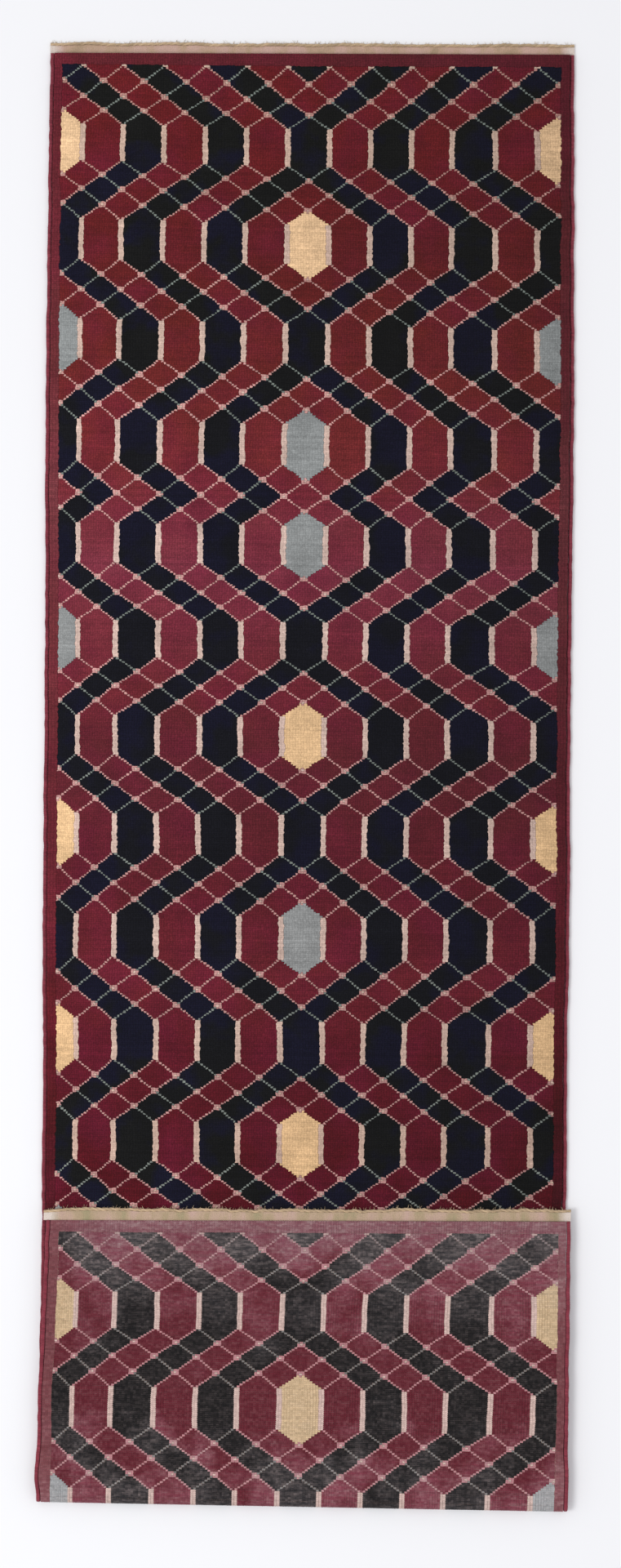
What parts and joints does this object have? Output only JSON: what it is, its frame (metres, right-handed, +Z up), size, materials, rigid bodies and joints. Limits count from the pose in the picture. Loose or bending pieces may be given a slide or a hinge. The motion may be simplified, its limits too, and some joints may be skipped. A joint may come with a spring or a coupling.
{
  "type": "runner rug",
  "caption": "Hand-knotted wool runner with a hexagon lattice, overcast edges and flat-woven ends; its near end is folded back and opens out flat.",
  "frame": {"origin": "on the floor, under the middle of the box that holds the folded rug", "axes": "+Y along the rug to its far end, away from the fold; +Z up, out of the pile; +X across the rug"},
  "size_m": [0.8282, 2.276, 0.0206],
  "materials": {
    "wool_red": "cut wool pile, madder red with abrash",
    "wool_navy": "cut wool pile, blue-black",
    "wool_ivory": "cut wool pile, undyed ivory",
    "wool_gold": "cut wool pile, pale gold",
    "wool_grey": "cut wool pile, blue-grey",
    "wool_rose": "cut wool pile, rose outline",
    "wool_slate": "cut wool pile, grey-green outline",
    "foundation_wool": "woven warps and wefts, undyed",
    "selvedge_wool": "overcast yarn, dark wine",
    "core_cord": "twisted warp bundle",
    "end_wool": "flat weave, cream"
  },
  "bodies": {
    "main": {"foundation_main": "foundation_wool", "pile_main": "wool_red", "selvedge_wrap_left_main": "selvedge_wool", "selvedge_core_left_main": "core_cord", "selvedge_wrap_right_main": "selvedge_wool", "selvedge_core_right_main": "core_cord", "kilim_band_far": "end_wool", "end_cord_far": "end_wool"},
    "fold_1": {"foundation_fold_1": "foundation_wool", "pile_fold_1": "wool_red", "selvedge_wrap_left_fold_1": "selvedge_wool", "selvedge_core_left_fold_1": "core_cord", "selvedge_wrap_right_fold_1": "selvedge_wool", "selvedge_core_right_fold_1": "core_cord"},
    "fold_2": {"foundation_fold_2": "foundation_wool", "pile_fold_2": "wool_red", "selvedge_wrap_left_fold_2": "selvedge_wool", "selvedge_core_left_fold_2": "core_cord", "selvedge_wrap_right_fold_2": "selvedge_wool", "selvedge_core_right_fold_2": "core_cord"},
    "fold_3": {"foundation_fold_3": "foundation_wool", "pile_fold_3": "wool_red", "selvedge_wrap_left_fold_3": "selvedge_wool", "selvedge_core_left_fold_3": "core_cord", "selvedge_wrap_right_fold_3": "selvedge_wool", "selvedge_core_right_fold_3": "core_cord"},
    "flap": {"foundation_flap": "foundation_wool", "pile_flap": "wool_red", "selvedge_wrap_left_flap": "selvedge_wool", "selvedge_core_left_flap": "core_cord", "selvedge_wrap_right_flap": "selvedge_wool", "selvedge_core_right_flap": "core_cord", "kilim_band_near": "end_wool", "end_cord_near": "end_wool"}
  },
  "joints": [
    {"name": "flap_turn", "type": "hinge", "parent": "fold_3", "child": "flap", "pos_m": [-0.00407, -1.12841, 0.0206], "axis": [1, -0.0087, 0], "range_deg": [0, 45]},
    {"name": "fold_turn_1", "type": "hinge", "parent": "main", "child": "fold_1", "pos_m": [-0.00407, -1.12841, 0], "axis": [1, -0.0087, 0], "range_deg": [0, 45]},
    {"name": "fold_turn_2", "type": "hinge", "parent": "fold_1", "child": "fold_2", "pos_m": [-0.00412, -1.13444, 0.00603], "axis": [1, -0.0087, 0], "range_deg": [0, 45]},
    {"name": "fold_turn_3", "type": "hinge", "parent": "fold_2", "child": "fold_3", "pos_m": [-0.00412, -1.13444, 0.01457], "axis": [1, -0.0087, 0], "range_deg": [0, 45]}
  ],
  "couplings": [
    {"joint": "fold_turn_1", "follows": "flap_turn", "ratio": 1},
    {"joint": "fold_turn_2", "follows": "flap_turn", "ratio": 1},
    {"joint": "fold_turn_3", "follows": "flap_turn", "ratio": 1}
  ]
}
